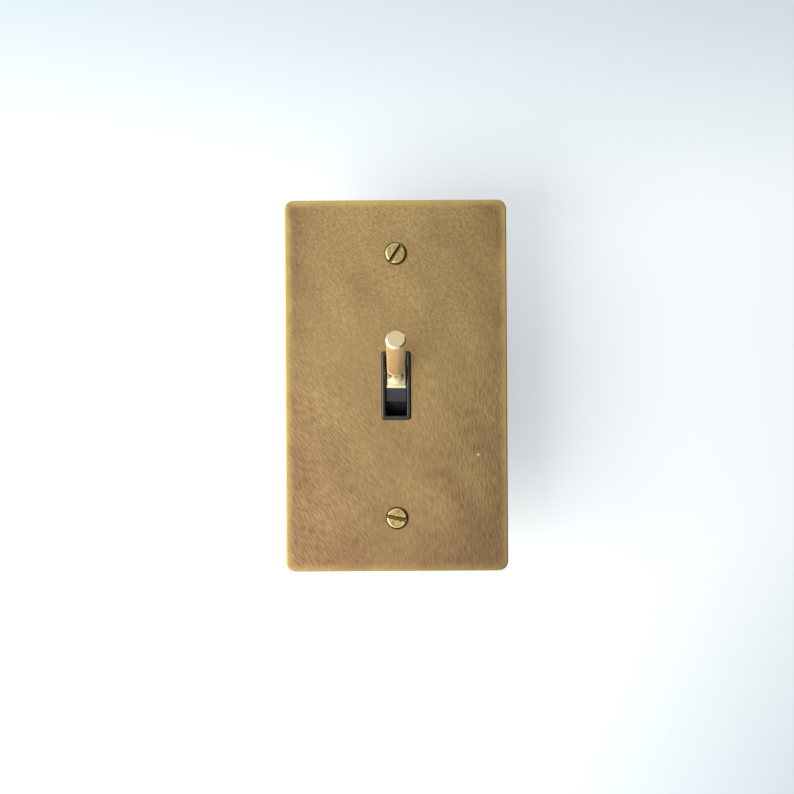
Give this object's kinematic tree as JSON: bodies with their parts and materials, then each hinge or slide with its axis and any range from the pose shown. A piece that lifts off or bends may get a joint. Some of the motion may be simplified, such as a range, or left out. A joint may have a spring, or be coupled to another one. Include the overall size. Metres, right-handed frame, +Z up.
{
  "type": "toggle light switch",
  "caption": "Wall toggle light switch with a rectangular antique brass plate, slotted screws, black collar and knurled brass lever, and the switch body with its snap contacts behind",
  "frame": {"origin": "centre of the face plate's back rim, on the wall's surface", "axes": "+Y into the wall, the front of the switch faces -Y, +Z up, +X to the right as seen from the front"},
  "size_m": [0.07, 0.0623, 0.117],
  "materials": {
    "antique_brass": "antiqued and brushed brass with rubbed golden edges",
    "screw_brass": "plain turned brass",
    "lever_brass": "satin turned brass, knurled grip",
    "stud_brass": "plain brass",
    "contact_brass": "rolled brass strip",
    "silver": "silver contact metal",
    "black_moulding": "black moulding, semi-gloss",
    "black_gloss": "black moulding, glossy",
    "housing_moulding": "black thermoset moulding, dull",
    "zinc_steel": "zinc plated steel",
    "pin_steel": "bright steel",
    "fibre": "red-brown vulcanised fibre",
    "green_paint": "green lacquered steel",
    "nylon": "natural nylon"
  },
  "bodies": {
    "frame": {"face_plate": "antique_brass", "box_screws": "screw_brass", "screw_retainers": "fibre", "plate_studs": "stud_brass", "stud_washers": "zinc_steel", "stud_nuts": "stud_brass", "mounting_strap": "zinc_steel", "earth_screw": "green_paint", "strap_rivets": "zinc_steel", "collar_cover": "black_moulding", "housing": "housing_moulding", "pivot_pin": "pin_steel", "fixed_contact": "silver", "load_terminal": "contact_brass", "common_terminal": "contact_brass", "clamp_plates": "zinc_steel", "terminal_screws": "screw_brass"},
    "toggle": {"toggle_drum": "black_gloss", "lever_foot": "lever_brass", "lever_grip": "lever_brass", "plunger_spring": "pin_steel"},
    "plunger": {"plunger": "nylon"},
    "rocker": {"contact_rocker": "contact_brass", "moving_contact": "silver"}
  },
  "joints": [
    {"name": "toggle_hinge", "type": "hinge", "parent": "frame", "child": "toggle", "pos_m": [0, 0.0072, 0], "axis": [1, 0, 0], "range_deg": [0, 37]},
    {"name": "plunger_slide", "type": "slide", "parent": "toggle", "child": "plunger", "axis": [0, 0.9483, -0.3173], "range_m": [-0.001, 0], "stiffness_N_per_m": 600, "deforming": ["plunger_spring"]},
    {"name": "rocker_hinge", "type": "hinge", "parent": "frame", "child": "rocker", "pos_m": [0, 0.02332, 0], "axis": [1, 0, 0], "range_deg": [-14, 0]}
  ],
  "couplings": [
    {"joint": "rocker_hinge", "follows": "toggle_hinge", "ratio": -0.37838}
  ]
}
